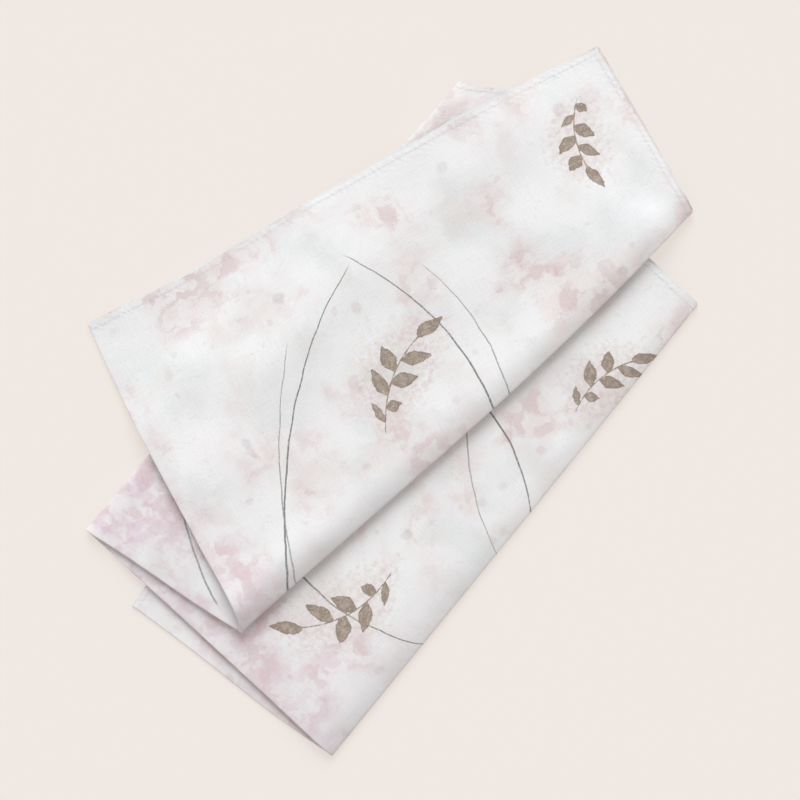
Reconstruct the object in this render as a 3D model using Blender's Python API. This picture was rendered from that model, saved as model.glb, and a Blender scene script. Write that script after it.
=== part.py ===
# A square cloth napkin, folded in half and then back and forth on three folds.
# The half fold is on the left (-X). The frontmost fold runs along X at -Y.

from collections import namedtuple

import bpy
import numpy as np

MM = 0.001
SHEET = 1.0 * MM  # one layer of cloth
LAYER_GAP = 0.35 * MM  # between the two layers of a panel
PANEL_GAP = 0.5 * MM  # between one panel and the next
WIDTH = 258.0 * MM  # of a panel along its folds, half of the cloth's width
PEEK = 0.8 * MM  # how far the longer layer shows past the shorter one
MARGIN = 3.0 * MM  # a panel lies level this far past the edge that it lies on
REACH = 40.0 * MM  # and comes down to the next level over this far
LIFT_REACH = 16.0 * MM  # how far in from a fold its lift is felt

HALF = (SHEET + LAYER_GAP) / 2
SKIN = HALF + SHEET / 2
PITCH = 2 * SKIN + PANEL_GAP

COLUMNS = 14
HAIRPIN_STEPS = 4
FOLD_STEPS = 5

# A row per hem or fold, in millimetres as seen from above, from the hem on top to the
# hem under the pile. It bows out by bow, most at the share bow_at of the way to the
# right. Lift is how far the fold stands open past a tight one.
Row = namedtuple("Row", "name left_x left_y right_x right_y bow bow_at lift")
ROWS = (
    Row("top hem", -75.6, 102.1, 160.3, 4.1, 1.5, 0.7, 0.0),
    Row("front fold 1", -139.6, -34.5, 130.2, -74.3, 4.2, 0.68, 1.2),
    Row("back fold", -147.0, 45.5, 109.5, 41.7, 0.9, 0.8, 0.6),
    Row("front fold 2", -156.3, -101.2, 99.7, -101.6, 0.4, 0.6, 1.2),
    Row("bottom hem", -160.3, 8.8, 92.7, 31.0, 0.0, 0.5, 0.0),
)

# A row per panel, from the top one down: how far its left and right edges bow out and
# where most, its S-shaped sway on the left, the height and length of the soft waves
# that part it from the panel below, their heading in degrees, and its steps.
Panel = namedtuple(
    "Panel", "name left_bow left_at right_bow right_at sway wave_height wave_length heading steps"
)
PANELS = (
    Panel("top", 0.3, 0.5, 0.2, 0.5, 0.9, 1.1, 118.0, 68.0, 10),
    Panel("second", 0.3, 0.3, 11.5, 0.66, 0.0, 0.5, 150.0, 20.0, 9),
    Panel("third", 0.3, 0.6, 0.0, 0.5, 0.0, 0.5, 135.0, 75.0, 8),
    Panel("bottom", 0.5, 0.3, 0.0, 0.5, 0.4, 0.0, 100.0, 0.0, 7),
)


def swell(share, at):
    """0 at both ends and 1 at the share at."""
    return np.sin(np.pi * np.clip(share, 0, 1) ** (np.log(0.5) / np.log(at)))


def ends(row):
    return (
        np.array([row.left_x, row.left_y]) * MM,
        np.array([row.right_x, row.right_y]) * MM,
    )


def outward(row):
    """The level direction out of a hem or fold, away from its panels."""
    left, right = ends(row)
    along = (right - left) / np.linalg.norm(right - left)
    back = np.array([-along[1], along[0]])
    return -back if row.name.startswith("front") else back


def side_point(index, side, along):
    """Points on a panel's left (0) or right (1) edge, at the shares along."""
    panel = PANELS[index]
    start = ends(ROWS[index])[side]
    stop = ends(ROWS[index + 1])[side]
    run = (stop - start) / np.linalg.norm(stop - start)
    out = np.array([-run[1], run[0]])
    if out[0] * (side - 0.5) < 0:
        out = -out
    bow, at = (panel.left_bow, panel.left_at) if side == 0 else (panel.right_bow, panel.right_at)
    push = bow * MM * swell(along, at) ** 1.5
    if side == 0:
        push = push + panel.sway * MM * np.sin(2 * np.pi * along)
    return start + (stop - start) * along[:, None] + out * push[:, None]


def outline_point(index, along, across):
    """Points of a panel as seen from above, at shares along and across it."""
    left = side_point(index, 0, along)
    right = side_point(index, 1, along)
    first, last = ROWS[index], ROWS[index + 1]
    point = left + (right - left) * across[:, None]
    point += outward(first) * (first.bow * MM * swell(across, first.bow_at) * (1 - along))[:, None]
    point += outward(last) * (last.bow * MM * swell(across, last.bow_at) * along)[:, None]
    return point


def outline(index, steps=10):
    """A panel's outline as a closed run of points."""
    share = np.linspace(0, 1, steps + 1)[:-1]
    nought = np.zeros(steps)
    runs = (
        outline_point(index, nought, share),
        outline_point(index, share, nought + 1),
        outline_point(index, nought + 1, 1 - share),
        outline_point(index, 1 - share, nought),
    )
    return np.concatenate(runs)


def distance_outside(points, loop):
    """How far each point lies outside a closed loop, 0 inside it."""
    start = loop[None, :, :]
    run = np.roll(loop, -1, axis=0)[None, :, :] - start
    off = points[:, None, :] - start
    share = np.clip((off * run).sum(2) / (run * run).sum(2), 0, 1)
    nearest = np.linalg.norm(off - run * share[:, :, None], axis=2).min(axis=1)
    above = off[:, :, 1] >= 0
    above_next = (off - run)[:, :, 1] >= 0
    turn = run[:, :, 0] * off[:, :, 1] - run[:, :, 1] * off[:, :, 0]
    crosses = (above != above_next) & ((turn > 0) == (above & ~above_next))
    return np.where(crosses.sum(axis=1) % 2 == 1, 0.0, nearest)


def still_held(distance):
    """1 on a level's edge, easing to 0 where a panel has come down from it."""
    share = np.clip((distance - MARGIN) / REACH, 0, 1)
    return 1 - share**3 * (10 - 15 * share + 6 * share**2)


def wave(panel, points):
    turn = np.radians(panel.heading)
    along = points[:, 0] * np.cos(turn) + points[:, 1] * np.sin(turn)
    swing = np.sin(2 * np.pi * along / (panel.wave_length * MM) + 1.3)
    return panel.wave_height * MM * (0.5 + 0.5 * swing)


def lift(row, points):
    """How far a fold that stands open raises the panel above it."""
    left, right = ends(row)
    run = right - left
    share = np.clip(((points - left) @ run) / (run @ run), 0, 1)
    away = np.linalg.norm(points - left - share[:, None] * run, axis=1)
    return row.lift * MM * np.exp(-((away / LIFT_REACH) ** 2))


LOOPS = [outline(index) for index in range(len(PANELS))]


def height(index, points):
    """The height of a panel's middle over the points."""
    level = np.full(len(points), SKIN)
    for below in range(index + 1, len(PANELS)):
        level += PITCH * still_held(distance_outside(points, LOOPS[below]))
    for held in range(index, len(PANELS) - 1):
        level += wave(PANELS[held], points) + lift(ROWS[held + 1], points)
    return level


def fold_radius(index, across):
    """Half of the space between the panels that a fold joins."""
    edge = outline_point(index, np.ones(len(across)), across)
    return (height(index, edge) - height(index + 1, edge)) / 2


def pulled_in(row_index, across):
    """How far the panels end inside a fold's outline, which its bend reaches."""
    if row_index in (0, len(ROWS) - 1):
        return np.zeros((len(across), 2))
    bend = fold_radius(row_index - 1, across) + SKIN
    return outward(ROWS[row_index]) * bend[:, None]


def panel_rows(index, across):
    pull_first = pulled_in(index, across)
    pull_last = pulled_in(index + 1, across)
    rows = []
    for along in np.linspace(0, 1, PANELS[index].steps + 1):
        flat = outline_point(index, np.full(len(across), along), across)
        flat -= pull_first * (1 - along) + pull_last * along
        rows.append(np.column_stack([flat, height(index, flat)]))
    return rows


def fold_rows(above, below, row):
    """The rows round a fold, between a panel's last row and the next one's first."""
    middle = (above + below) / 2
    radius = (above[:, 2] - below[:, 2]) / 2
    rows = []
    for turn in np.linspace(0, np.pi, FOLD_STEPS + 1)[1:-1]:
        point = middle.copy()
        point[:, :2] += outward(row) * (radius * np.sin(turn))[:, None]
        point[:, 2] += radius * np.cos(turn)
        rows.append(point)
    return rows


def middle_surface(across):
    """The doubled cloth's middle, from the top hem to the bottom one."""
    rows = []
    for index in range(len(PANELS)):
        panel = panel_rows(index, across)
        if rows:
            rows += fold_rows(rows[-1], panel[0], ROWS[index])
        rows += panel
    return np.array(rows)


def unit(vectors):
    return vectors / np.linalg.norm(vectors, axis=2)[:, :, None]


# Across the cloth: the front half from its free edge to the half fold, round it, and
# back along the other half. Rise is each point's height over the panel's middle.
flat_run = np.linspace(SKIN, WIDTH, COLUMNS + 1) / WIDTH
bend_turn = np.linspace(0, np.pi, HAIRPIN_STEPS + 1)[1:-1]
bend_run = (SKIN - HALF * np.sin(bend_turn)) / WIDTH
across = np.concatenate([flat_run[::-1], bend_run, flat_run])
turn = np.concatenate([np.zeros(COLUMNS + 1), bend_turn, np.full(COLUMNS + 1, np.pi)])

middle = middle_surface(across)
step = 0.002
sideways = unit(middle_surface(across + step) - middle_surface(across - step))
lengthways = np.gradient(middle, axis=0)
upward = unit(np.cross(lengthways, sideways))
sheet_middle = middle + upward * (HALF * np.cos(turn))[None, :, None]
facing = upward * np.cos(turn)[None, :, None] - sideways * np.sin(turn)[None, :, None]

# The front half stops short of the back half, at the top hem and down the open side.
short = (1 + np.cos(turn)) / 2 * PEEK
sheet_middle[0] += unit(sheet_middle[1:2] - sheet_middle[:1])[0] * short[:, None]
sheet_middle[:, 0] += unit(sheet_middle[:, 1:2] - sheet_middle[:, :1])[:, 0] * PEEK

outer = sheet_middle + facing * SHEET / 2
inner = sheet_middle - facing * SHEET / 2
rows, columns = outer.shape[:2]
vertices = np.concatenate([outer.reshape(-1, 3), inner.reshape(-1, 3)])
inner_start = rows * columns


def at(row, column):
    return row * columns + column


# Both halves split their quads along the same diagonal, so that they stay apart.
faces = []
for row in range(rows - 1):
    for column in range(columns - 1):
        a, b = at(row, column), at(row, column + 1)
        c, d = at(row + 1, column + 1), at(row + 1, column)
        halves = ((a, b, c), (a, c, d)) if column >= columns // 2 else ((a, b, d), (b, c, d))
        for half in halves:
            faces.append(half)
            faces.append(tuple(inner_start + corner for corner in reversed(half)))
rim = [at(row, 0) for row in range(rows)]
rim += [at(rows - 1, column) for column in range(1, columns)]
rim += [at(row, columns - 1) for row in range(rows - 2, -1, -1)]
rim += [at(0, column) for column in range(columns - 2, 0, -1)]
for here, after in zip(rim, rim[1:] + rim[:1]):
    faces.append((here, after, inner_start + after, inner_start + here))

for old in list(bpy.data.objects):
    bpy.data.objects.remove(old)

cotton = bpy.data.materials.new("cotton")
cotton.use_nodes = True
shader = cotton.node_tree.nodes["Principled BSDF"]
shader.inputs["Base Color"].default_value = (0.86, 0.82, 0.83, 1.0)
shader.inputs["Roughness"].default_value = 0.9

mesh = bpy.data.meshes.new("napkin")
mesh.from_pydata(vertices.tolist(), [], faces)
mesh.update()
mesh.materials.append(cotton)
mesh.shade_smooth()
napkin = bpy.data.objects.new("napkin", mesh)
bpy.context.scene.collection.objects.link(napkin)
print("napkin spans", np.ptp(vertices, axis=0).round(4), "lowest", vertices[:, 2].min().round(6))
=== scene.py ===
import math

import bmesh
import bpy
import numpy as np
from mathutils import Matrix, Vector


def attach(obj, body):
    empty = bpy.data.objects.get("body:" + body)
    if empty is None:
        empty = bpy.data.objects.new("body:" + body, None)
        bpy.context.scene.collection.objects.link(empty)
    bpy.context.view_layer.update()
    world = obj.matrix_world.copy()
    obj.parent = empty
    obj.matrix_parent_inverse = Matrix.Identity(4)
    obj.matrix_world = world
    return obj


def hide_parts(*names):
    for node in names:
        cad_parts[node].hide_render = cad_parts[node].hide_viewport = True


# A square cotton napkin, folded in half and then back and forth on three folds.
# Sizes are in millimetres, as in the solids, and become metres when a mesh is placed.

mm = 0.001
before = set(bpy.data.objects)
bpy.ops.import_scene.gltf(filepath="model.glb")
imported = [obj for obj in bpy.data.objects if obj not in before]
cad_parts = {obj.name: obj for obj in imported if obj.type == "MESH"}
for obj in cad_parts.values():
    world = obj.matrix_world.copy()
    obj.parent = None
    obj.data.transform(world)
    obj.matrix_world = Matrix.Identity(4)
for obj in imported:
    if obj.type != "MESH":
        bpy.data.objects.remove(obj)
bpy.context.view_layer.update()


# camera: straight down, turned so that the napkin lies as in the photograph

cameraView = {
    "place": (-0.0157, -0.0260, 1.467),
    "turn": -51.07,  # degrees about the vertical
    "lens": 150.0,
    "sensor": 36.0,
    "near": 0.05,
    "far": 20.0,
}

cameraData = bpy.data.cameras.new("camera")
cameraData.lens = cameraView["lens"]
cameraData.sensor_width = cameraView["sensor"]
cameraData.clip_start = cameraView["near"]
cameraData.clip_end = cameraView["far"]
camera = bpy.data.objects.new("camera", cameraData)
camera.location = cameraView["place"]
camera.rotation_euler = (0.0, 0.0, math.radians(cameraView["turn"]))
bpy.context.scene.collection.objects.link(camera)
bpy.context.scene.camera = camera
print("camera set")


# napkin: one sheet, doubled and folded

napkinCloth = {
    "sheet": 0.36,  # one layer of cotton
    "hemSheet": 0.62,  # where the hem is rolled
    "halfGap": 0.4,  # from a panel's middle to the middle of either layer
    "base": 0.76,  # the lowest panel's middle, with its hem just on the floor
    "pitch": 2.3,  # from one panel to the next
    "tight": 1.12,  # the same at a fold's very edge, where the two are pressed together
    "hemTight": 0.4,  # more of it where the fold meets the hem
    "hemTightReach": 7.0,  # how far from the hem that is felt
    "halfWidth": 258.0,  # half of the cloth, from the half fold to the hem
    "peek": 0.8,  # how far the longer layer shows past the shorter one
    "heldMargin": 3.0,  # a panel stays level this far past what it lies on
    "heldReach": 27.0,  # and comes down over this far
    "liftReach": 22.0,  # how far in from a fold its lift is felt
    "dipAt": 0.2,  # share of the way along a hem where it dips in most
    "dipSpread": 0.12,
    "tuckFrom": 0.72,  # share of the way along a panel where its left side starts to tuck in
    "tuckOver": 0.22,  # share over which the tuck grows
    "tuckEnd": 0.03,  # share before the fold over which it ends
    "tuckFade": 8,  # how fast the tuck dies away across the panel
    "wavePhase": 1.3,
    "bottoming": 5.0,  # how sharply a trough meets the panel below
    "slopeAt": 1.5,  # how far inside a fold's outline the slope of its panels is taken
    "slopeStep": 0.5,
    "rim": 0.25,  # how far in the hem's rounded edge reaches
    "rippleCount": 7,
    "rippleSum": 2.2,  # brings the sum of the ripples back to about 1
    "columns": 80,
    "bendSteps": 8,
    "foldSteps": 10,
    "seed": 7,
}
skin = napkinCloth["halfGap"] + napkinCloth["sheet"] / 2  # from a panel's middle to its face

# across the hem: distance in from the edge, and how much of the rolled thickness is there
hemProfile = [
    (0.0, 0.15), (0.3, 0.75), (0.8, 1.0), (1.5, 1.0), (2.1, 0.8),
    (2.5, 0.45), (2.9, 0.3), (3.6, 0.0), (5.0, 0.0), (7.5, 0.0),
]
stitchAt = 5  # row of the hem profile that carries the stitches

# hems and folds from above, from the hem on top to the one under the pile: how they bow out
# and dip in, how far a fold lifts what it carries, and how far in it rolls down
clothLines = [
    # top hem
    dict(left=(-75.6, 102.1), right=(160.3, 4.1), out=1, bow=1.5, bowAt=0.7, dip=1.8),
    # front fold 1
    dict(left=(-139.0, -36.0), right=(130.2, -74.3), out=-1, bow=3.6, bowAt=0.62, lift=2.4, roll=12.0),
    # back fold
    dict(left=(-147.0, 45.5), right=(109.5, 41.7), out=1, bow=0.9, bowAt=0.8, lift=0.4, roll=8.0),
    # front fold 2
    dict(left=(-156.3, -101.2), right=(99.7, -101.6), out=-1, bow=0.4, bowAt=0.6, lift=1.2, roll=11.0),
    # bottom hem
    dict(left=(-160.3, 8.8), right=(92.7, 31.0), out=1, bow=0.0, bowAt=0.5),
]

# panels from the top one down: how their sides bow and sway, how far the left one tucks in just
# short of its fold, the soft wave that parts each from the one below (height, length, heading
# in degrees), small ripples, and their steps
panels = [
    dict(leftBow=0.3, leftAt=0.12, rightBow=0.2, rightAt=0.5, sway=1.0, tuck=2.0,
         wave=0.9, length=118.0, heading=68.0, ripple=0.30, steps=42),
    dict(leftBow=0.25, leftAt=0.15, rightBow=11.5, rightAt=0.66, sway=0.4, tuck=0.0,
         wave=0.4, length=150.0, heading=20.0, ripple=0.12, steps=32),
    dict(leftBow=-0.3, leftAt=0.42, rightBow=0.0, rightAt=0.5, sway=0.0, tuck=0.0,
         wave=0.4, length=135.0, heading=75.0, ripple=0.22, steps=42),
    dict(leftBow=0.5, leftAt=0.3, rightBow=0.0, rightAt=0.5, sway=0.4, tuck=0.0,
         wave=0.0, length=100.0, heading=0.0, ripple=0.0, steps=28),
]

# soft ridges (up) and troughs (down), each in one panel
creases = [
    dict(panel=0, start=(-48.0, 33.0), end=(122.0, 8.0), height=1.25, spread=12.0),
    dict(panel=0, start=(-22.0, 4.0), end=(108.0, -12.0), height=-0.55, spread=11.0),
    dict(panel=0, start=(-104.0, 40.0), end=(-62.0, -6.0), height=0.5, spread=12.0),
    dict(panel=0, start=(-75.0, 30.0), end=(-52.0, 8.0), height=-0.5, spread=9.0),
    dict(panel=0, start=(-112.0, -12.0), end=(-30.0, -26.0), height=0.45, spread=10.0),
    dict(panel=0, start=(62.0, -60.0), end=(118.0, -34.0), height=0.4, spread=9.0),
    dict(panel=0, start=(-110.0, 28.0), end=(-138.0, -30.0), height=1.4, spread=13.0),
    dict(panel=0, start=(-130.0, -27.0), end=(-84.0, -36.0), height=1.1, spread=9.0),
    dict(panel=1, start=(-128.0, -38.0), end=(112.0, -72.0), height=1.5, spread=15.0),
    dict(panel=2, start=(-80.0, -70.0), end=(-60.0, -92.0), height=0.5, spread=8.0),
    dict(panel=2, start=(-8.0, -70.0), end=(12.0, -94.0), height=0.45, spread=9.0),
    dict(panel=2, start=(48.0, -78.0), end=(58.0, -95.0), height=0.35, spread=7.0),
]


def unit(vectors):
    return vectors / np.linalg.norm(vectors, axis=-1)[..., None]


def swell(share, at):  # 0 at both ends, 1 at the share at
    return np.sin(np.pi * np.clip(share, 0, 1) ** (np.log(0.5) / np.log(at)))


def lineEnds(line):
    return np.array(line["left"]), np.array(line["right"])


def outOf(line):  # level direction out of a hem or fold, away from its panels
    left, right = lineEnds(line)
    along = unit(right - left)
    return line["out"] * np.array([-along[1], along[0]])


def sidePoint(index, side, along):  # a panel's left (0) or right (1) edge
    panel = panels[index]
    start = lineEnds(clothLines[index])[side]
    stop = lineEnds(clothLines[index + 1])[side]
    run = unit(stop - start)
    out = np.array([-run[1], run[0]])
    if out[0] * (side - 0.5) < 0:
        out = -out
    word = ("left", "right")[side]
    push = panel[word + "Bow"] * np.abs(swell(along, panel[word + "At"])) ** 1.5
    if side == 0:
        push = push + panel["sway"] * np.sin(2 * np.pi * along)
    return start + (stop - start) * along[..., None] + out * push[..., None]


def bowed(line, across):  # how far a hem or fold stands out from the line between its ends
    fromDip = (across - napkinCloth["dipAt"]) / napkinCloth["dipSpread"]
    dip = line.get("dip", 0.0) * np.exp(-(fromDip**2))
    return outOf(line) * (line["bow"] * swell(across, line["bowAt"]) - dip)[..., None]


def outlinePoint(index, along, across):  # a panel's point as seen from above
    left, right = sidePoint(index, 0, along), sidePoint(index, 1, along)
    point = left + (right - left) * across[..., None]
    rise = np.clip((along - napkinCloth["tuckFrom"]) / napkinCloth["tuckOver"], 0, 1)
    ending = np.clip((1 - along) / napkinCloth["tuckEnd"], 0, 1)
    tuck = panels[index]["tuck"] * rise**2 * (3 - 2 * rise) * ending
    point = point + unit(right - left) * (tuck * (1 - across) ** napkinCloth["tuckFade"])[..., None]
    point = point + bowed(clothLines[index], across) * (1 - along)[..., None]
    return point + bowed(clothLines[index + 1], across) * along[..., None]


def outlineLoop(index, steps=18):
    share = np.linspace(0, 1, steps + 1)[:-1]
    low, high = np.zeros(steps), np.ones(steps)
    return np.concatenate([
        outlinePoint(index, low, share), outlinePoint(index, share, high),
        outlinePoint(index, high, 1 - share), outlinePoint(index, 1 - share, low),
    ])


def distanceOutside(points, loop):  # 0 inside the loop
    run = np.roll(loop, -1, axis=0) - loop
    off = points[:, None, :] - loop
    share = np.clip((off * run).sum(2) / (run * run).sum(1), 0, 1)
    nearest = np.linalg.norm(off - run * share[:, :, None], axis=2).min(axis=1)
    above = off[:, :, 1] >= 0
    aboveNext = (off - run)[:, :, 1] >= 0
    turning = run[:, 0] * off[:, :, 1] - run[:, 1] * off[:, :, 0]
    crosses = (above != aboveNext) & ((turning > 0) == (above & ~aboveNext))
    return np.where(crosses.sum(axis=1) % 2 == 1, 0.0, nearest)


def stillHeld(distance):  # 1 on what carries a panel, easing to 0 where it has come down
    share = np.clip((distance - napkinCloth["heldMargin"]) / napkinCloth["heldReach"], 0, 1)
    return 1 - share**3 * (10 - 15 * share + 6 * share**2)


def awayFrom(points, run):  # how far from a run of straight pieces
    least = np.full(len(points), np.inf)
    for start, end in zip(run[:-1], run[1:]):
        piece = end - start
        share = np.clip(((points - start) @ piece) / (piece @ piece), 0, 1)
        least = np.minimum(least, np.linalg.norm(points - start - share[:, None] * piece, axis=1))
    return least


rippleDraw = np.random.default_rng(napkinCloth["seed"])
ripples = [
    [
        dict(heading=rippleDraw.uniform(0, math.pi), length=rippleDraw.uniform(26, 62),
             phase=rippleDraw.uniform(0, 2 * math.pi), share=rippleDraw.uniform(0.3, 1.0))
        for _ in range(napkinCloth["rippleCount"])
    ]
    for _ in panels
]


def rippleHeight(index, points):  # several long ripples that never quite line up
    total = np.zeros(len(points))
    for ripple in ripples[index]:
        along = points[:, 0] * math.cos(ripple["heading"]) + points[:, 1] * math.sin(ripple["heading"])
        total += ripple["share"] * np.sin(2 * np.pi * along / ripple["length"] + ripple["phase"])
    return panels[index]["ripple"] * total / napkinCloth["rippleSum"]


def partedBy(index, points):  # how far a panel stands off the one below, slightly under 0 in a trough
    panel = panels[index]
    if not panel["wave"]:
        return np.zeros(len(points))
    turn = math.radians(panel["heading"])
    along = points[:, 0] * math.cos(turn) + points[:, 1] * math.sin(turn)
    swing = np.sin(2 * np.pi * along / panel["length"] + napkinCloth["wavePhase"])
    parted = panel["wave"] * (0.5 + 0.5 * swing)
    parted += panel["ripple"] + rippleHeight(index, points)
    for crease in creases:
        if crease["panel"] == index:
            away = awayFrom(points, np.array([crease["start"], crease["end"]]))
            parted += crease["height"] * np.exp(-((away / crease["spread"]) ** 2))
    sharp = napkinCloth["bottoming"]
    return np.logaddexp(0, sharp * parted) / sharp - math.log(2) / sharp


loops = [outlineLoop(index) for index in range(len(panels))]
foldRuns = [outlinePoint(index, np.ones(13), np.linspace(0, 1, 13)) for index in range(len(panels) - 1)]


def levelOf(index, shaped):  # the height of a panel's middle over the points
    points = shaped.reshape(-1, 2)
    level = np.full(len(points), napkinCloth["base"])
    for below in range(index + 1, len(panels)):
        level += napkinCloth["pitch"] * stillHeld(distanceOutside(points, loops[below]))
    for held in range(index, len(panels) - 1):
        run, line = foldRuns[held], clothLines[held + 1]
        away = awayFrom(points, run)
        lifted = line["lift"] * np.exp(-((away / napkinCloth["liftReach"]) ** 2))
        parted = np.maximum(partedBy(held, points), 0) + lifted
        level += parted
        if held == index:
            fromHem = np.linalg.norm(points - run[-1], axis=1) / napkinCloth["hemTightReach"]
            atHem = np.exp(-(fromHem**2))
            tight = napkinCloth["tight"] + napkinCloth["hemTight"] * atHem
            level -= (napkinCloth["pitch"] + parted - tight) * np.maximum(1 - away / line["roll"], 0) ** 2
    return level.reshape(shaped.shape[:-1])


def pulledIn(lineIndex, across):  # how far the panels over and under a fold end inside its outline
    if lineIndex in (0, len(clothLines) - 1):
        return np.zeros((2, len(across), 2))
    out = outOf(clothLines[lineIndex])
    inside = outlinePoint(lineIndex - 1, np.ones(len(across)), across) - napkinCloth["slopeAt"] * out
    top = levelOf(lineIndex - 1, inside)
    slopeStep = napkinCloth["slopeStep"]
    slope = np.arctan((levelOf(lineIndex - 1, inside - slopeStep * out) - top) / slopeStep)
    radius = (top - levelOf(lineIndex, inside)) / (1 + np.cos(slope))
    return [out * reach[:, None] for reach in (radius * (1 - np.sin(slope)) + skin, radius + skin)]


def foldRows(above, below, before, after, out):  # round a fold, leaving and meeting both panels smoothly
    start = np.arctan2(before[:, 2], before[:, :2] @ out)
    stop = -np.pi - np.arctan2(after[:, 2], -after[:, :2] @ out)
    radius = (above[:, 2] - below[:, 2]) / (np.cos(start) - np.cos(stop))
    rows = []
    for share in np.linspace(0, 1, napkinCloth["foldSteps"] + 1)[1:]:
        angle = start + (stop - start) * share
        flat = above[:, :2] + out * (radius * (np.sin(start) - np.sin(angle)))[:, None]
        rows.append(np.column_stack([flat, above[:, 2] + radius * (np.cos(angle) - np.cos(start))]))
    miss = below - rows[-1]
    return [row + miss * (count + 1) / len(rows) for count, row in enumerate(rows[:-1])]


def middleSurface(across, alongs):  # the doubled cloth's middle, from the top hem down
    rows = []
    for index, along in enumerate(alongs):
        grid = np.broadcast_to(across, along.shape)
        flat = outlinePoint(index, along, grid)
        flat = flat - pulledIn(index, across)[1] * (1 - along)[..., None]
        flat = flat - pulledIn(index + 1, across)[0] * along[..., None]
        panel = list(np.concatenate([flat, levelOf(index, flat)[..., None]], axis=-1))
        if rows:
            leaving, meeting = rows[-1] - rows[-2], panel[1] - panel[0]
            rows += foldRows(rows[-1], panel[0], leaving, meeting, outOf(clothLines[index]))
        rows += panel
    return np.array(rows)


def easedRun(start, stop, steps, crowding=0.7):  # steps that crowd towards both ends
    share = np.linspace(0, 1, steps + 1)
    share = share - crowding * np.sin(2 * np.pi * share) / (2 * np.pi)
    return start + (stop - start) * share


# across the cloth: the upper half from its free edge to the half fold, round it, and back
hemSteps = np.array([step for step, _ in hemProfile])
hemWeights = np.array([weight for _, weight in hemProfile])
levelEnd = napkinCloth["halfWidth"] - skin
farRun = np.concatenate([hemSteps[:-1], easedRun(hemSteps[-1], levelEnd, napkinCloth["columns"])])
bendTurn = np.linspace(0, np.pi, napkinCloth["bendSteps"] + 1)[1:-1]
shorter = farRun + napkinCloth["peek"] * (1 - farRun / farRun[-1])
across = np.concatenate([
    napkinCloth["halfWidth"] - shorter,
    skin - napkinCloth["halfGap"] * np.sin(bendTurn),
    napkinCloth["halfWidth"] - farRun[::-1],
]) / napkinCloth["halfWidth"]
turn = np.concatenate([np.zeros(len(farRun)), bendTurn, np.full(len(farRun), np.pi)])
fromSide = np.concatenate([farRun, np.full(len(bendTurn), farRun[-1]), farRun[::-1]])
short = (1 + np.cos(turn)) / 2 * napkinCloth["peek"]  # the upper half also stops short at the top hem

wellInside = 100.0  # stands for any distance past the hem
alongs, fromEnd = [], []
for index, panel in enumerate(panels):
    ends = [outlinePoint(index, np.full(len(across), share), across) for share in (0.0, 1.0)]
    length = np.linalg.norm(ends[1] - ends[0], axis=1)
    share = easedRun(0, 1, panel["steps"])[:, None]
    if index == 0:
        hem = (short + hemSteps[:-1, None]) / length
        rest = (short + hemSteps[-1]) / length
        alongs.append(np.concatenate([hem, rest + (1 - rest) * share]))
        fromEnd.append(np.concatenate([hemSteps[:-1], hemSteps[-1] + wellInside * share[:, 0]]))
    elif index == len(panels) - 1:
        hem = 1 - hemSteps[-2::-1, None] / length
        rest = 1 - hemSteps[-1] / length
        alongs.append(np.concatenate([rest * share, hem]))
        fromEnd.append(np.concatenate([hemSteps[-1] + wellInside * share[::-1, 0], hemSteps[-2::-1]]))
    else:
        alongs.append(np.broadcast_to(share, (len(share), len(across))))
        fromEnd.append(np.full(len(share), wellInside))
    if index < len(panels) - 1:
        fromEnd.append(np.full(napkinCloth["foldSteps"] - 1, wellInside))
fromEnd = np.concatenate(fromEnd)

middle = middleSurface(across, alongs)
step = 0.002  # share of the half width, to either side, that gives the direction across
sideways = unit(middleSurface(across + step, alongs) - middleSurface(across - step, alongs))
lengthways = np.gradient(middle, axis=0)
upward = unit(np.cross(lengthways, sideways))
apart = napkinCloth["halfGap"] * np.cos(turn)
sheetMiddle = middle + upward * apart[None, :, None]
facing = upward * np.cos(turn)[None, :, None] - sideways * np.sin(turn)[None, :, None]
rowCount, columnCount = sheetMiddle.shape[:2]

# the flat cloth: across from one side hem to the other, and along from hem to hem
rowSteps = np.linalg.norm(np.diff(middle, axis=0), axis=2)
flatAlong = np.concatenate([np.zeros((1, columnCount)), rowSteps.cumsum(axis=0)])
clothLength = float(flatAlong[-1].mean())
flatAlong = flatAlong / flatAlong[-1]
bendLength = napkinCloth["halfGap"] * np.pi / 2
fromBend = across * napkinCloth["halfWidth"] + bendLength * np.abs(np.cos(turn)) - skin
flatAcross = np.where(turn < np.pi / 2, -1, 1) * fromBend
flatAcross[len(farRun):len(farRun) + len(bendTurn)] = (bendTurn / np.pi * 2 - 1) * bendLength
clothWidth = float(flatAcross[-1] - flatAcross[0])
flatAcross = (flatAcross - flatAcross[0]) / clothWidth
print("cloth cut to", round(clothWidth), "x", round(clothLength), "mm, mesh", rowCount, "x", columnCount)

cloth = bmesh.new()
flatLayer = cloth.loops.layers.uv.new("flatCloth")
hemLayer = cloth.verts.layers.deform.verify()
bmesh.ops.create_grid(cloth, x_segments=columnCount - 1, y_segments=rowCount - 1, size=1.0)
cells = {}
for vertex in cloth.verts:
    column = round((vertex.co.x + 1) / 2 * (columnCount - 1))
    row = round((vertex.co.y + 1) / 2 * (rowCount - 1))
    cells[vertex] = (row, column)
for face in cloth.faces:
    for loop in face.loops:
        row, column = cells[loop.vert]
        loop[flatLayer].uv = (flatAcross[column], flatAlong[row, column])
hemShare = np.maximum(
    np.interp(fromSide, hemSteps, hemWeights)[None, :], np.interp(fromEnd, hemSteps, hemWeights)[:, None]
)
outermost = np.minimum(fromSide[None, :], fromEnd[:, None])
hemShare = np.where(outermost < napkinCloth["rim"], hemWeights[0], hemShare)
for vertex, (row, column) in cells.items():
    vertex.co = Vector(sheetMiddle[row, column]) * mm
    vertex[hemLayer][0] = float(hemShare[row, column])
firstFace = next(iter(cloth.faces))
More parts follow.
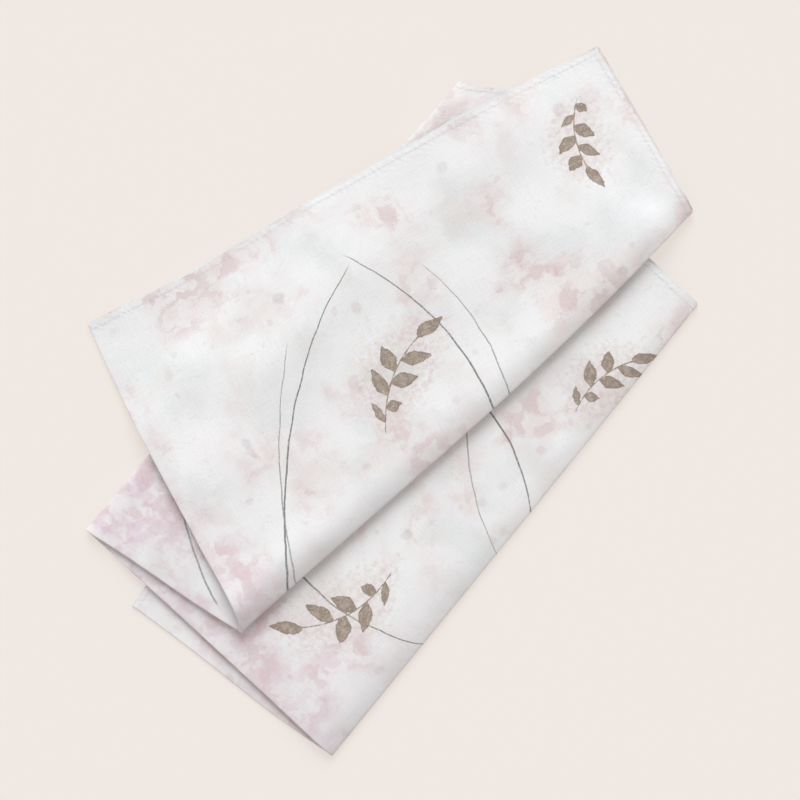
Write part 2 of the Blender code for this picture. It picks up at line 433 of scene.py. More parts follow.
firstFace.normal_update()
row, column = cells[firstFace.verts[0]]
if firstFace.normal.dot(Vector(facing[row, column])) < 0:
    bmesh.ops.reverse_faces(cloth, faces=cloth.faces[:])

clothMesh = bpy.data.meshes.new("napkin_cloth")
cloth.to_mesh(clothMesh)
cloth.free()
clothMesh.shade_smooth()
napkin = bpy.data.objects.new("napkin_cloth", clothMesh)
bpy.context.scene.collection.objects.link(napkin)
napkin.vertex_groups.new(name="hem")
thick = napkin.modifiers.new("thickness", "SOLIDIFY")
thick.thickness = napkinCloth["hemSheet"] * mm
thick.offset = 0.0
thick.vertex_group = "hem"
thick.thickness_vertex_group = napkinCloth["sheet"] / napkinCloth["hemSheet"]
thick.material_offset = 1
thick.material_offset_rim = 0
print("napkin made,", len(clothMesh.vertices), "points")


# floor and light

studio = {
    "floor": (0.8769, 0.8133, 0.7684),
    "floorGlow": 0.68,  # how much of the floor's light is its own, as on a light table
    "floorHalf": 14.0,  # half of its width in metres, so that low views don't show its end
    "world": (1.0, 0.945, 0.91, 1.0),
    "worldStrength": 0.60,
    "sun": (0.90, 0.965, 1.0),
    "sunStrength": 2.24,
    "sunPlace": (0.85, 0.75, 0.85),
    "sunSpread": 42.0,  # degrees, which keeps its shadows soft
}

floorMaterial = bpy.data.materials.new("pale_floor")
floorMaterial.use_nodes = True
floorShader = floorMaterial.node_tree.nodes["Principled BSDF"]
ownLight = studio["floorGlow"]
floorShader.inputs["Base Color"].default_value = (*[part * (1 - ownLight) for part in studio["floor"]], 1.0)
floorShader.inputs["Emission Color"].default_value = (*studio["floor"], 1.0)
floorShader.inputs["Emission Strength"].default_value = ownLight
floorShader.inputs["Roughness"].default_value = 1.0
floorShader.inputs["Specular IOR Level"].default_value = 0.0
floorShape = bmesh.new()
bmesh.ops.create_grid(floorShape, x_segments=1, y_segments=1, size=studio["floorHalf"])
floorMesh = bpy.data.meshes.new("floor")
floorShape.to_mesh(floorMesh)
floorShape.free()
floorMesh.materials.append(floorMaterial)
floor = bpy.data.objects.new("floor", floorMesh)
bpy.context.scene.collection.objects.link(floor)

world = bpy.data.worlds.new("studio")
world.use_nodes = True
world.node_tree.nodes["Background"].inputs["Color"].default_value = studio["world"]
world.node_tree.nodes["Background"].inputs["Strength"].default_value = studio["worldStrength"]
bpy.context.scene.world = world
bpy.context.scene.view_settings.view_transform = "Standard"

sunData = bpy.data.lights.new("key", "SUN")
sunData.energy = studio["sunStrength"]
sunData.color = studio["sun"]
sunData.angle = math.radians(studio["sunSpread"])
sun = bpy.data.objects.new("key", sunData)
sun.location = studio["sunPlace"]
sun.rotation_euler = (-Vector(studio["sunPlace"])).to_track_quat("-Z", "Y").to_euler()
bpy.context.scene.collection.objects.link(sun)
print("floor and light set")


# stitches: one short raised thread after another along every hem

hemStitches = {
    "length": 1.7,  # of one stitch
    "spacing": 2.3,  # from one to the next
    "thread": 0.2,  # half of the thread's thickness
    "sink": 0.06,  # how deep it lies in the cloth
    "lookAhead": 0.3,  # how far on its direction is taken
    "sides": 5,
    "rings": 4,
}


def pathOf(points, outward, depth):  # spots at even spacing on a run of points, with their directions
    points = points + outward * depth[:, None]
    run = np.concatenate([[0], np.linalg.norm(np.diff(points, axis=0), axis=1).cumsum()])
    spots = np.arange(hemStitches["spacing"], run[-1] - hemStitches["spacing"], hemStitches["spacing"])
    place = np.column_stack([np.interp(spots, run, points[:, axis]) for axis in range(3)])
    further = spots + hemStitches["lookAhead"]
    ahead = np.column_stack([np.interp(further, run, points[:, axis]) for axis in range(3)])
    up = unit(np.column_stack([np.interp(spots, run, outward[:, axis]) for axis in range(3)]))
    return place, unit(ahead - place), up


def stitchRuns():
    rowIn = stitchAt
    rowOut = rowCount - 1 - stitchAt
    columnIn = stitchAt
    columnOut = columnCount - 1 - stitchAt
    oneHalf, otherHalf = slice(columnIn, len(farRun)), slice(len(farRun) + len(bendTurn), columnOut + 1)
    lines = [(slice(rowIn, rowOut + 1), columnIn), (slice(rowIn, rowOut + 1), columnOut)]
    lines += [(row, half) for row in (rowIn, rowOut) for half in (oneHalf, otherHalf)]
    least = napkinCloth["sheet"] / napkinCloth["hemSheet"]
    for line in lines:
        layer = napkinCloth["hemSheet"] / 2 * (least + (1 - least) * hemShare[line])
        for side in (1, -1):
            yield pathOf(sheetMiddle[line], facing[line] * side, layer - hemStitches["sink"])


oneStitch = bmesh.new()
bmesh.ops.create_uvsphere(
    oneStitch, u_segments=hemStitches["sides"], v_segments=hemStitches["rings"], radius=1.0
)
bmesh.ops.rotate(oneStitch, verts=oneStitch.verts, matrix=Matrix.Rotation(math.pi / 2, 3, "Y"))
bmesh.ops.scale(oneStitch, verts=oneStitch.verts,
                vec=Vector((hemStitches["length"] / 2, hemStitches["thread"], hemStitches["thread"])) * mm)
stitchShape = bpy.data.meshes.new("one_stitch")
oneStitch.to_mesh(stitchShape)
oneStitch.free()

allStitches = bmesh.new()
stitchCount = 0
for place, ahead, up in stitchRuns():
    for spot, forward, upright in zip(place, ahead, up):
        aside = np.cross(upright, forward)
        placed = Matrix((forward, aside, upright)).transposed().to_4x4()
        placed.translation = Vector(spot) * mm
        copy = stitchShape.copy()
        copy.transform(placed)
        allStitches.from_mesh(copy)
        bpy.data.meshes.remove(copy)
        stitchCount += 1
bpy.data.meshes.remove(stitchShape)
threadMesh = bpy.data.meshes.new("hem_stitches")
allStitches.to_mesh(threadMesh)
allStitches.free()
threadMesh.shade_smooth()
stitches = bpy.data.objects.new("hem_stitches", threadMesh)
bpy.context.scene.collection.objects.link(stitches)
print("stitches sewn,", stitchCount)


# materials

clothColours = {
    "cotton": "F3F3F4",
    "blush": "EBDCDB",
    "rose": "D8BDBF",
    "orchid": "DCC5D1",
    "mist": "D5DBDC",
    "lilac": "CFCACF",
    "sand": "DACBC0",
    "taupe": "97887A",
    "umber": "7F7062",
    "ink": "6A6B6B",
    "paleInk": "989D9B",
}

clothFinish = {
    "weave": 0.46,  # from one thread to the next
    "threadDepth": 0.05,
    "slubDepth": 0.10,
    "softDepth": 0.10,  # of the unevenness over several threads
    "hemLine": 2.75,  # from the edge to where the hem ends
    "stitchLine": 2.4,  # from the edge to where the stitches pull
    "pullReach": 4.5,  # how far to either side they pull
    "puckerPitch": 4.3,  # from one pucker to the next
    "puckerDepth": 0.045,
    "wrongSide": 0.35,  # how much of the print shows on the back
}


def paint(name):  # a named colour, as the light values that a shader takes
    code = clothColours[name]
    parts = [int(code[i:i + 2], 16) / 255 for i in (0, 2, 4)]
    return (*[part / 12.92 if part <= 0.04045 else ((part + 0.055) / 1.055) ** 2.4 for part in parts], 1.0)


def feed(tree, value, socket):
    if isinstance(value, bpy.types.NodeSocket):
        tree.links.new(value, socket)
    else:
        socket.default_value = value


def calc(tree, operation, *values, clamp=False):
    node = tree.nodes.new("ShaderNodeMath")
    node.operation = operation
    node.use_clamp = clamp
    for value, socket in zip(values, node.inputs):
        feed(tree, value, socket)
    return node.outputs[0]


def calcVector(tree, operation, *values):
    node = tree.nodes.new("ShaderNodeVectorMath")
    node.operation = operation
    for value, socket in zip(values, node.inputs):
        feed(tree, value, socket)
    return node.outputs[0]


def ease(tree, value, low, high, start=0.0, end=1.0):  # a smooth step from low to high
    node = tree.nodes.new("ShaderNodeMapRange")
    node.interpolation_type = "SMOOTHSTEP"
    settings = {"Value": value, "From Min": low, "From Max": high, "To Min": start, "To Max": end}
    for key, item in settings.items():
        feed(tree, item, node.inputs[key])
    return node.outputs["Result"]


def mixColour(tree, share, under, over, kind="MIX"):
    node = tree.nodes.new("ShaderNodeMix")
    node.data_type = "RGBA"
    node.blend_type = kind
    feed(tree, share, node.inputs[0])
    feed(tree, under, node.inputs[6])
    feed(tree, over, node.inputs[7])
    return node.outputs[2]


def noise(tree, place, size, shift=(0.0, 0.0, 0.0), detail=2.0, warp=0.0, rough=0.5):
    node = tree.nodes.new("ShaderNodeTexNoise")
    node.inputs["Scale"].default_value = 1.0
    node.inputs["Detail"].default_value = detail
    node.inputs["Roughness"].default_value = rough
    node.inputs["Distortion"].default_value = warp
    size = size if isinstance(size, tuple) else (size, size, size)
    scaled = calcVector(tree, "MULTIPLY", place, tuple(1 / part for part in size))
    tree.links.new(calcVector(tree, "ADD", scaled, shift), node.inputs["Vector"])
    return node.outputs["Fac"]


def parts(tree, vector):
    node = tree.nodes.new("ShaderNodeSeparateXYZ")
    tree.links.new(vector, node.inputs[0])
    return node.outputs[0], node.outputs[1]


def newGroup(name, takes, gives):
    group = bpy.data.node_groups.new(name, "ShaderNodeTree")
    for label, kind in takes:
        group.interface.new_socket(label, in_out="INPUT", socket_type="NodeSocket" + kind)
    for label, kind in gives:
        group.interface.new_socket(label, in_out="OUTPUT", socket_type="NodeSocket" + kind)
    return group, group.nodes.new("NodeGroupInput"), group.nodes.new("NodeGroupOutput")


def useGroup(tree, group, **values):
    node = tree.nodes.new("ShaderNodeGroup")
    node.node_tree = group
    for label, value in values.items():
        feed(tree, value, node.inputs[label])
    return node


strokeInputs = [("Place", "Vector"), ("Wobble", "Float"), ("Start", "Vector"), ("Turn", "Float"),
                ("Length", "Float"), ("Bend", "Float"), ("Size", "Float")]


def strokeLocal(group, given):  # along a bent stroke, and out from it
    off = calcVector(group, "SUBTRACT", given.outputs["Place"], given.outputs["Start"])
    turned = group.nodes.new("ShaderNodeVectorRotate")
    turned.rotation_type = "Z_AXIS"
    group.links.new(off, turned.inputs["Vector"])
    group.links.new(calc(group, "MULTIPLY", given.outputs["Turn"], -1.0), turned.inputs["Angle"])
    x, y = parts(group, turned.outputs[0])
    share = calc(group, "DIVIDE", x, given.outputs["Length"])
    arch = calc(group, "MULTIPLY", calc(group, "MULTIPLY", share, calc(group, "SUBTRACT", 1.0, share)), 4.0)
    return x, calc(group, "SUBTRACT", y, calc(group, "MULTIPLY", arch, given.outputs["Bend"])), share


def makeStem():  # a thin drawn stem that tapers to its tip
    group, given, made = newGroup("ink_stem", strokeInputs, [("Mask", "Float")])
    x, y, share = strokeLocal(group, given)
    off = calc(group, "ABSOLUTE", calc(group, "MULTIPLY_ADD", given.outputs["Wobble"], 2.2, y))
    half = calc(group, "MULTIPLY", given.outputs["Size"], calc(group, "MULTIPLY_ADD", share, -0.3, 0.5))
    line = ease(group, calc(group, "SUBTRACT", off, half), 0.14, -0.14)
    ends = calc(group, "MULTIPLY", ease(group, share, 0.0, 0.02), ease(group, share, 1.0, 0.94))
    group.links.new(calc(group, "MULTIPLY", line, ends), made.inputs["Mask"])
    return group


def makeSprig():  # side leaves in turn along a stem, one leaf at its tip, their darker rims, and a loose halo
    sprigOutputs = [("Mask", "Float"), ("Rim", "Float"), ("Halo", "Float")]
    group, given, made = newGroup("leaf_sprig", strokeInputs, sprigOutputs)
    x, y, share = strokeLocal(group, given)
    leaf = given.outputs["Size"]
    wobble = given.outputs["Wobble"]
    period = calc(group, "MULTIPLY", leaf, 0.8)
    side = calc(group, "GREATER_THAN", y, 0.0)
    spot = calc(group, "MULTIPLY_ADD", side, 0.5, calc(group, "DIVIDE", x, period))
    count = calc(group, "FLOOR", spot)
    along = calc(group, "MULTIPLY", calc(group, "SUBTRACT", spot, count), period)
    out = calc(group, "ABSOLUTE", y)
    lean = math.radians(52)
    a = calc(group, "MULTIPLY_ADD", out, math.sin(lean), calc(group, "MULTIPLY", along, math.cos(lean)))
    b = calc(group, "MULTIPLY_ADD", out, math.cos(lean), calc(group, "MULTIPLY", along, -math.sin(lean)))

    def blade(forward, aside, grown):
        length = calc(group, "MULTIPLY", leaf, grown)
        part = calc(group, "DIVIDE", forward, length, clamp=True)
        curve = calc(group, "SINE", calc(group, "MULTIPLY", calc(group, "POWER", part, 0.8), math.pi))
        width = calc(group, "MULTIPLY", calc(group, "MULTIPLY", length, 0.25), curve)
        past = calc(group, "SUBTRACT", calc(group, "ABSOLUTE", aside), width)
        edge = calc(group, "MULTIPLY_ADD", wobble, 2.3, past)
        inside = calc(group, "GREATER_THAN", width, 0.05)
        body = calc(group, "MULTIPLY", ease(group, edge, 0.25, -0.25), inside)
        rim = calc(group, "MULTIPLY", ease(group, edge, -0.9, -0.1), body)
        return body, rim

    placed = calc(group, "DIVIDE", calc(group, "MULTIPLY", count, period), given.outputs["Length"])
    swelling = calc(group, "SINE", calc(group, "MULTIPLY", placed, math.pi))
    grown = calc(group, "MULTIPLY_ADD", swelling, 0.35, 0.65)
    pastStart = calc(group, "GREATER_THAN", placed, -0.01)
    onStem = calc(group, "MULTIPLY", pastStart, calc(group, "LESS_THAN", placed, 0.86))
    sides, sideRims = (calc(group, "MULTIPLY", mask, onStem) for mask in blade(a, b, grown))
    tip, tipRim = blade(calc(group, "SUBTRACT", x, given.outputs["Length"]), y, 0.95)
    stalk = ease(group, calc(group, "MULTIPLY_ADD", wobble, 1.2, out), 0.42, 0.16)
    stalkEnds = calc(group, "MULTIPLY", ease(group, share, -0.3, -0.24), ease(group, share, 1.05, 1.0))
    stalk = calc(group, "MULTIPLY", stalk, stalkEnds)
    shape = calc(group, "MAXIMUM", calc(group, "MAXIMUM", sides, tip), stalk)
    group.links.new(shape, made.inputs["Mask"])
    group.links.new(calc(group, "MAXIMUM", sideRims, tipRim), made.inputs["Rim"])
    reach = calc(group, "DIVIDE", calc(group, "SUBTRACT", share, 0.5), 0.95)
    spread = calc(group, "DIVIDE", y, calc(group, "MULTIPLY", leaf, 1.35))
    far = calc(group, "ADD", calc(group, "MULTIPLY", reach, reach), calc(group, "MULTIPLY", spread, spread))
    far = calc(group, "MULTIPLY_ADD", wobble, 2.4, far)
    group.links.new(ease(group, far, 1.0, 0.25), made.inputs["Halo"])
    return group


def makeWeave():  # plain weave: threads over and under, a little uneven
    group, given, made = newGroup("cotton_weave", [("Place", "Vector"), ("Pitch", "Float")],
                                  [("Height", "Float"), ("Tone", "Float")])
    place = given.outputs["Place"]
    x, y = parts(group, place)
    x = calc(group, "DIVIDE", x, given.outputs["Pitch"])
    y = calc(group, "DIVIDE", y, given.outputs["Pitch"])
    crossing = calc(group, "ADD", calc(group, "FLOOR", x), calc(group, "FLOOR", y))
    overUnder = calc(group, "FLOORED_MODULO", crossing, 2.0)
    waveX = calc(group, "ABSOLUTE", calc(group, "SINE", calc(group, "MULTIPLY", x, math.pi)))
    waveY = calc(group, "ABSOLUTE", calc(group, "SINE", calc(group, "MULTIPLY", y, math.pi)))
    over = calc(group, "MULTIPLY", waveX, calc(group, "MULTIPLY_ADD", waveY, 0.45, 0.55))
    under = calc(group, "MULTIPLY", waveY, calc(group, "MULTIPLY_ADD", waveX, 0.45, 0.55))
    mixed = calc(group, "ADD", calc(group, "MULTIPLY", over, overUnder),
                 calc(group, "MULTIPLY", under, calc(group, "SUBTRACT", 1.0, overUnder)))
    warp = noise(group, place, (0.55, 16.0, 1.0), (3.1, 0.4, 0.0), 1.0)
    weft = noise(group, place, (16.0, 0.55, 1.0), (0.7, 5.2, 0.0), 1.0)
    slub = calc(group, "SUBTRACT", calc(group, "ADD", warp, weft), 1.0)
    slubHeight = calc(group, "MULTIPLY", slub, clothFinish["slubDepth"])
    height = calc(group, "MULTIPLY_ADD", mixed, clothFinish["threadDepth"], slubHeight)
    group.links.new(height, made.inputs["Height"])
    # the tone is partly real yarn tone from the slubs and partly painted shade, darker where the threads dip
    yarnToneAndShade = calc(group, "ADD", calc(group, "MULTIPLY", mixed, 0.5), calc(group, "MULTIPLY", slub, 0.9))
    group.links.new(yarnToneAndShade, made.inputs["Tone"])
    return group


stemGroup = makeStem()
sprigGroup = makeSprig()
weaveGroup = makeWeave()

# the print, laid out on the flat cloth in millimetres: x from the upper half's side hem to
# the lower half's, with the half fold in the middle, and y from the top hem down
stems = [
    dict(start=(232, 150), turn=-128, length=150, bend=15, size=1.0, ink="ink"),
    dict(start=(228, 156), turn=-114, length=118, bend=9, size=0.8, ink="paleInk"),
    dict(start=(118, 128), turn=-76, length=104, bend=-11, size=0.95, ink="ink"),
    dict(start=(112, 130), turn=-88, length=84, bend=-8, size=0.75, ink="paleInk"),
    dict(start=(96, 312), turn=63, length=78, bend=9, size=1.0, ink="ink"),
    dict(start=(88, 306), turn=52, length=92, bend=-8, size=0.8, ink="paleInk"),
    dict(start=(206, 306), turn=104, length=80, bend=-9, size=0.95, ink="ink"),
    dict(start=(262, 168), turn=42, length=96, bend=10, size=0.95, ink="paleInk"),
    dict(start=(262, 392), turn=70, length=96, bend=5, size=0.95, ink="ink"),
    dict(start=(380, 60), turn=110, length=140, bend=14, size=1.0, ink="ink"),
    dict(start=(470, 300), turn=-150, length=130, bend=-12, size=1.0, ink="paleInk"),
    dict(start=(360, 440), turn=-95, length=120, bend=12, size=1.0, ink="ink"),
]
sprigs = [
    dict(start=(158, 96), turn=-142, length=34, bend=3.0, size=13.5),
    dict(start=(24, 22), turn=74, length=24, bend=-2.0, size=11.5),
    dict(start=(190, 344), turn=-20, length=36, bend=3.4, size=14.0),
    dict(start=(64, 350), turn=172, length=26, bend=2.2, size=12.0),
    dict(start=(400, 180), turn=75, length=36, bend=-3.0, size=13.5),
    dict(start=(420, 420), turn=-40, length=34, bend=2.6, size=13.0),
    dict(start=(120, 210), turn=30, length=32, bend=2.6, size=12.5),
]

# drops of colour: how far apart, the share that shows, their least and most radius, and how
# strong they are
drops = [
    dict(apart=15.0, share=0.60, least=1.5, most=2.8, shift=(0.0, 0.0, 0.0), depth=0.75),
    dict(apart=9.0, share=0.35, least=0.7, most=1.5, shift=(31.0, 17.0, 0.0), depth=0.6),
]

# the two front folds where painted shade darkens them: their y at the half fold, how it changes away from
# there, how far in the painted shade reaches, and how strong it is
shadedFolds = [
    dict(y=151.0, slant=-0.257, reach=22.0, depth=0.38),
    dict(y=377.0, slant=-0.097, reach=22.0, depth=0.34),
]

rosyPart = {
    "middle": 22.0,  # past the half fold
    "faded": 105.0,  # this far to either side of its middle
    "full": 15.0,
}


def drawStroke(tree, group, stroke, place, wobble):  # a stem or a sprig at its place in the print
    return useGroup(
        tree, group, Place=place, Wobble=wobble, Start=(*stroke["start"], 0.0),
        Turn=math.radians(stroke["turn"]), Length=float(stroke["length"]),
        Bend=float(stroke["bend"]), Size=stroke["size"],
    )


def highest(tree, masks):
    held = masks[0]
    for mask in masks[1:]:
        held = calc(tree, "MAXIMUM", held, mask)
    return held


def scatter(tree, place, apart, share, least, most):  # soft round drops, and a chance for each
    cells = tree.nodes.new("ShaderNodeTexVoronoi")
    cells.inputs["Scale"].default_value = 1 / apart
    tree.links.new(place, cells.inputs["Vector"])
    chance = tree.nodes.new("ShaderNodeSeparateColor")
    tree.links.new(cells.outputs["Color"], chance.inputs[0])
    radius = calc(tree, "MULTIPLY_ADD", chance.outputs[0], (most - least) / apart, least / apart)
    off = calc(tree, "SUBTRACT", cells.outputs["Distance"], radius)
    shown = calc(tree, "LESS_THAN", chance.outputs[1], share)
    spot = calc(tree, "MULTIPLY", ease(tree, off, 0.08, -0.08), shown)
    ring = ease(tree, calc(tree, "ABSOLUTE", calc(tree, "ADD", off, 0.03)), 0.06, 0.0)
    return calc(tree, "MULTIPLY", spot, calc(tree, "MULTIPLY_ADD", ring, 0.25, 0.75)), chance.outputs[2]


def makePrint():
    tree, given, made = newGroup("watercolour_print", [("Place", "Vector")], [("Color", "Color")])
    place = given.outputs["Place"]
    x, y = parts(tree, place)
    warpNoise = tree.nodes.new("ShaderNodeTexNoise")
    warpNoise.inputs["Scale"].default_value = 0.13
    warpNoise.inputs["Detail"].default_value = 3.0
    tree.links.new(place, warpNoise.inputs["Vector"])
    swirl = calcVector(tree, "SUBTRACT", warpNoise.outputs["Color"], (0.5, 0.5, 0.5))
    shove = calcVector(tree, "MULTIPLY", swirl, (9.0, 9.0, 0.0))
    wet = calcVector(tree, "ADD", place, shove)  # the same place, pushed about as wet colour runs
    damp = calcVector(tree, "ADD", place, calcVector(tree, "MULTIPLY", shove, (0.55, 0.55, 0.0)))
    grain = noise(tree, place, 1.4, (4.0, 1.0, 0.0), 3.0, 0.0, 0.7)
    fromRosy = calc(tree, "ABSOLUTE", calc(tree, "SUBTRACT", x, clothWidth / 2 + rosyPart["middle"]))
    nearFold = ease(tree, fromRosy, rosyPart["faded"], rosyPart["full"])
    nearFold = calc(tree, "MULTIPLY", nearFold, ease(tree, y, 50.0, 180.0, 0.15, 1.0))
    nearFold = calc(tree, "MULTIPLY", nearFold, ease(tree, y, 330.0, 420.0, 1.0, 0.7))

    # washes: cool and sandy ones everywhere, pink ones in patches and towards the half fold
    cool = ease(tree, noise(tree, wet, 34.0, (7.1, 4.4, 2.0), 3.0, 0.3), 0.46, 0.68)
    dull = ease(tree, noise(tree, wet, 24.0, (11.0, 6.0, 3.0), 3.0, 0.3), 0.50, 0.68)
    warmth = calc(tree, "MULTIPLY_ADD", nearFold, 0.17, noise(tree, wet, 40.0, (1.7, 2.3, 0.0), 2.0, 0.3))
    warm = ease(tree, warmth, 0.44, 0.68)
    pools = noise(tree, wet, 10.0, (2.0, 9.0, 1.0), 3.0, 0.4)
    pool = ease(tree, pools, 0.44, 0.60)
    colour = mixColour(tree, calc(tree, "MULTIPLY", cool, 0.34), paint("cotton"), paint("mist"))
    colour = mixColour(tree, calc(tree, "MULTIPLY", dull, 0.20), colour, paint("sand"))
    pinkish = mixColour(tree, nearFold, paint("blush"), paint("orchid"))
    pinkShare = calc(tree, "MULTIPLY", warm, calc(tree, "MULTIPLY_ADD", pool, 0.36, 0.26))
    colour = mixColour(tree, pinkShare, colour, pinkish)

    # blooms: rosy patches that dried round pale drops, with a darker line at their edges
    cells = tree.nodes.new("ShaderNodeTexVoronoi")
    cells.inputs["Scale"].default_value = 1 / 12.0
    tree.links.new(damp, cells.inputs["Vector"])
    around = ease(tree, cells.outputs["Distance"], 0.22, 0.30)
    fine = calc(tree, "SUBTRACT", noise(tree, damp, 2.6, (8.0, 3.0, 2.0), 3.0, 0.0, 0.65), 0.5)
    patches = calc(tree, "MULTIPLY_ADD", fine, 0.22, noise(tree, wet, 10.0, (5.0, 3.0, 4.0), 3.0, 0.2))
    patch = calc(tree, "MULTIPLY", ease(tree, patches, 0.47, 0.60), ease(tree, warmth, 0.50, 0.70))
    bloom = calc(tree, "MULTIPLY", patch, around)
    fromBrim = calc(tree, "ABSOLUTE", calc(tree, "SUBTRACT", cells.outputs["Distance"], 0.27))
    brim = calc(tree, "MULTIPLY", patch, ease(tree, fromBrim, 0.04, 0.0))
    edge = calc(tree, "MULTIPLY", bloom, ease(tree, patches, 0.60, 0.56))
    strength = calc(tree, "MULTIPLY_ADD", grain, 0.50, 0.28)
    rosy = mixColour(tree, calc(tree, "MULTIPLY", nearFold, 0.5), paint("rose"), paint("orchid"))
    colour = mixColour(tree, calc(tree, "MULTIPLY", bloom, strength), colour, rosy)
    outlined = calc(tree, "MULTIPLY", calc(tree, "MAXIMUM", brim, edge), 0.24)
    colour = mixColour(tree, outlined, colour, paint("rose"))

    for drop in drops:
        shifted = calcVector(tree, "ADD", damp, drop["shift"])
        spots, pick = scatter(tree, shifted, drop["apart"], drop["share"], drop["least"], drop["most"])
        rosiness = ease(tree, calc(tree, "ADD", pick, warm), 0.55, 0.85)
        tint = mixColour(tree, rosiness, paint("lilac"), paint("rose"))
        half = drop["depth"] * 0.5
        dabbed = calc(tree, "MULTIPLY_ADD", warm, half, half)
        dabbed = calc(tree, "MULTIPLY", calc(tree, "MULTIPLY_ADD", grain, 0.8, 0.6), dabbed)
        colour = mixColour(tree, calc(tree, "MULTIPLY", spots, dabbed, clamp=True), colour, tint)

    cracks = noise(tree, wet, 19.0, (3.0, 8.0, 6.0), 3.0, 0.2)
    crack = calc(tree, "ABSOLUTE", calc(tree, "SUBTRACT", cracks, 0.5))
    vein = calc(tree, "MULTIPLY", ease(tree, crack, 0.010, 0.003), ease(tree, grain, 0.45, 0.62))
    colour = mixColour(tree, calc(tree, "MULTIPLY", vein, 0.10), colour, paint("ink"))

    # painted shade: the front folds are a little darker and greyer on the side that shows, most near the half
    # fold
    fromHalf = calc(tree, "ABSOLUTE", calc(tree, "SUBTRACT", x, clothWidth / 2))
    nearHalf = ease(tree, fromHalf, 165.0, 35.0)
    for foldShade in shadedFolds:
        foldLine = calc(tree, "MULTIPLY_ADD", fromHalf, foldShade["slant"], foldShade["y"])
        past = calc(tree, "SUBTRACT", y, foldLine)
        paintedShade = calc(tree, "MULTIPLY", ease(tree, past, -foldShade["reach"], -1.0), ease(tree, past, 7.0, 3.0))
        paintedShade = calc(tree, "MULTIPLY", paintedShade, nearHalf)
        colour = mixColour(tree, calc(tree, "MULTIPLY", paintedShade, foldShade["depth"]), colour, paint("lilac"))

    wobble = calc(tree, "SUBTRACT", noise(tree, place, 15.0, (6.0, 6.0, 1.0), 3.0, 0.0, 0.5), 0.5)
    ragged = calc(tree, "SUBTRACT", noise(tree, place, 2.4, (2.0, 5.0, 7.0), 3.0, 0.0, 0.6), 0.5)
    inkShare = ease(tree, grain, 0.30, 0.55, 0.5, 0.9)
    for name in ("ink", "paleInk"):
        inked = [stem for stem in stems if stem["ink"] == name]
        lines = [drawStroke(tree, stemGroup, stem, place, wobble).outputs["Mask"] for stem in inked]
        colour = mixColour(tree, calc(tree, "MULTIPLY", highest(tree, lines), inkShare), colour, paint(name))

    marks = [drawStroke(tree, sprigGroup, sprig, place, ragged) for sprig in sprigs]
    leaves, rims, halos = (
        highest(tree, [mark.outputs[name] for mark in marks]) for name in ("Mask", "Rim", "Halo")
    )
    sprinkled = ease(tree, noise(tree, place, 2.4, (9.0, 1.0, 5.0), 4.0, 0.0, 0.7), 0.36, 0.66, 0.12, 0.6)
    speckled = calc(tree, "MULTIPLY", halos, sprinkled)
    colour = mixColour(tree, speckled, colour, mixColour(tree, pool, paint("sand"), paint("rose")))
    mottle = ease(tree, noise(tree, place, 3.2, (1.0, 7.0, 2.0), 3.0, 0.0, 0.6), 0.42, 0.68, 0.0, 0.35)
    leafTone = mixColour(tree, mottle, paint("taupe"), paint("sand"))
    specks = ease(tree, noise(tree, place, 1.0, (5.0, 2.0, 9.0), 2.0, 0.0, 0.6), 0.50, 0.68, 0.0, 0.45)
    leafTone = mixColour(tree, specks, leafTone, paint("sand"))
    leafTone = mixColour(tree, calc(tree, "MULTIPLY", rims, 0.55), leafTone, paint("umber"))
    leafShare = calc(tree, "MULTIPLY", leaves, ease(tree, grain, 0.2, 0.5, 0.75, 0.97))
    colour = mixColour(tree, leafShare, colour, leafTone)
    tree.links.new(colour, made.inputs["Color"])
    return tree


printGroup = makePrint()


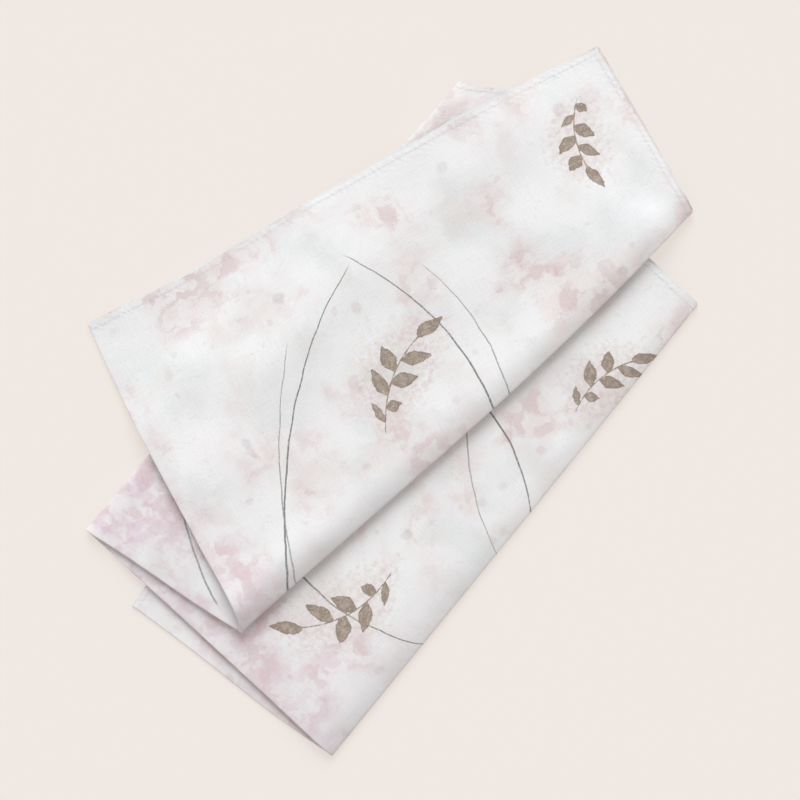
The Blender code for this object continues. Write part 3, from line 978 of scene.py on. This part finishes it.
def clothMaterial(name, printed):  # printed says how much of the print shows on this side
    material = bpy.data.materials.new(name)
    material.use_nodes = True
    tree = material.node_tree
    shader = tree.nodes["Principled BSDF"]
    uv = tree.nodes.new("ShaderNodeUVMap")
    uv.uv_map = "flatCloth"
    place = calcVector(tree, "MULTIPLY", uv.outputs[0], (clothWidth, clothLength, 0.0))
    x, y = parts(tree, place)
    toSide = calc(tree, "MINIMUM", x, calc(tree, "SUBTRACT", clothWidth, x))
    toEnd = calc(tree, "MINIMUM", y, calc(tree, "SUBTRACT", clothLength, y))
    toEdge = calc(tree, "MINIMUM", toSide, toEnd)
    colour = useGroup(tree, printGroup, Place=place).outputs["Color"]
    if printed < 1:
        shown = ease(tree, toEdge, clothFinish["hemLine"] + 0.2, clothFinish["hemLine"], printed, 1.0)
        colour = mixColour(tree, shown, paint("cotton"), colour)
    weave = useGroup(tree, weaveGroup, Place=place, Pitch=clothFinish["weave"])
    # the weave's tone: real yarn tone from the slubs, and painted shade in the hollows between threads
    yarnToneAndShade = ease(tree, weave.outputs["Tone"], -0.4, 0.8, 0.955, 1.0)
    # painted shade: a little darker along the hem's inner line, and darker still at the cloth's rolled edge
    fromLine = calc(tree, "ABSOLUTE", calc(tree, "SUBTRACT", toEdge, clothFinish["hemLine"]))
    foldShade = ease(tree, fromLine, 0.0, 0.45, 0.95, 1.0)
    foldShade = calc(tree, "MULTIPLY", foldShade, ease(tree, toEdge, 0.1, 0.9, 0.86, 1.0))
    shade = mixColour(tree, calc(tree, "MULTIPLY", yarnToneAndShade, foldShade), (0, 0, 0, 1), (1, 1, 1, 1))
    colour = mixColour(tree, 1.0, colour, shade, "MULTIPLY")
    tree.links.new(colour, shader.inputs["Base Color"])
    sewn = calc(tree, "SUBTRACT", toEdge, clothFinish["stitchLine"])
    pull = ease(tree, calc(tree, "ABSOLUTE", sewn), clothFinish["pullReach"], 0.3)
    uneven = noise(tree, place, 9.0, (1.0, 1.0, 4.0), 1.0)
    along = calc(tree, "MULTIPLY_ADD", uneven, 14.0, calc(tree, "ADD", x, y))
    swing = calc(tree, "SINE", calc(tree, "MULTIPLY", along, 2 * math.pi / clothFinish["puckerPitch"]))
    pucker = calc(tree, "MULTIPLY", swing, calc(tree, "MULTIPLY", pull, clothFinish["puckerDepth"]))
    soft = noise(tree, place, 5.0, (8.0, 2.0, 3.0), 3.0, 0.2, 0.55)
    relief = calc(tree, "MULTIPLY_ADD", soft, clothFinish["softDepth"], weave.outputs["Height"])
    height = calc(tree, "ADD", relief, pucker)
    bump = tree.nodes.new("ShaderNodeBump")
    bump.inputs["Distance"].default_value = mm
    bump.inputs["Strength"].default_value = 0.9
    tree.links.new(height, bump.inputs["Height"])
    tree.links.new(bump.outputs[0], shader.inputs["Normal"])
    tree.links.new(ease(tree, weave.outputs["Tone"], -0.4, 0.8, 0.95, 0.82), shader.inputs["Roughness"])
    shader.inputs["Specular IOR Level"].default_value = 0.25
    shader.inputs["Sheen Weight"].default_value = 0.12
    shader.inputs["Sheen Roughness"].default_value = 0.5
    return material


clothMesh.materials.append(clothMaterial("printed_face", 1.0))
clothMesh.materials.append(clothMaterial("wrong_side", clothFinish["wrongSide"]))

threadLook = {
    "dark": (0.70, 0.68, 0.69, 1.0),
    "light": (0.86, 0.85, 0.86, 1.0),
    "fibre": 0.0004,  # metres
}

thread = bpy.data.materials.new("hem_thread")
thread.use_nodes = True
threadTree = thread.node_tree
threadShader = threadTree.nodes["Principled BSDF"]
threadPlace = threadTree.nodes.new("ShaderNodeTexCoord").outputs["Object"]
fibres = ease(threadTree, noise(threadTree, threadPlace, threadLook["fibre"]), 0.35, 0.65)
threadColour = mixColour(threadTree, fibres, threadLook["dark"], threadLook["light"])
threadTree.links.new(threadColour, threadShader.inputs["Base Color"])
threadShader.inputs["Roughness"].default_value = 0.7
threadShader.inputs["Sheen Weight"].default_value = 0.2
threadMesh.materials.append(thread)
print("materials made")

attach(stitches, "root")
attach(napkin, "root")
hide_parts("napkin")
